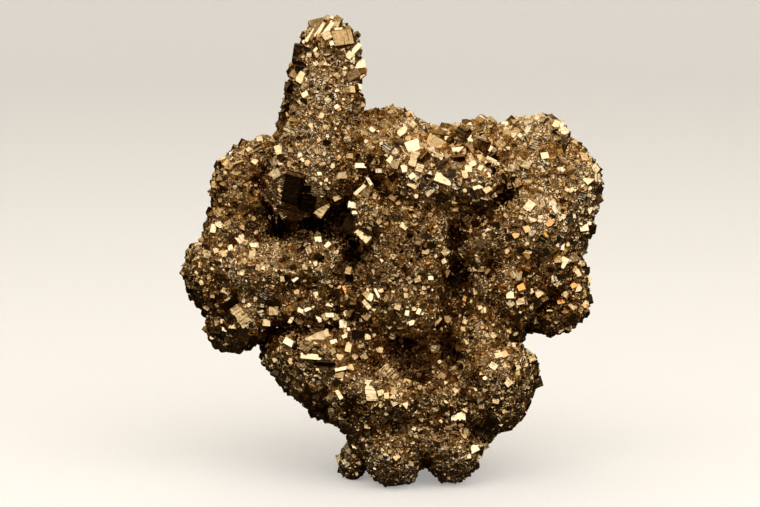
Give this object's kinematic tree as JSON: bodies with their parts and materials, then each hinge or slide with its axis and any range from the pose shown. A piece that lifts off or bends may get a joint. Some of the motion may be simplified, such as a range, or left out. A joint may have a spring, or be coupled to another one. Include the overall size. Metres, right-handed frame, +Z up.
{
  "type": "pyrite crystal cluster",
  "caption": "Natural cluster of brassy cubic and faceted crystals, with one blunt upright finger, standing on its own rounded feet.",
  "frame": {"origin": "at the middle of the outline seen from above, on the plane the cluster stands on", "axes": "+Z up, along the finger; -Y is the front, which holds the large bright crystals; +X is to the right seen from the front"},
  "size_m": [0.1056, 0.0627, 0.1155],
  "materials": {
    "pyrite": "bright crystal faces, brassy gold, some tarnished brown"
  },
  "bodies": {
    "root": {"pyrite_cluster": "pyrite"}
  },
  "joints": []
}
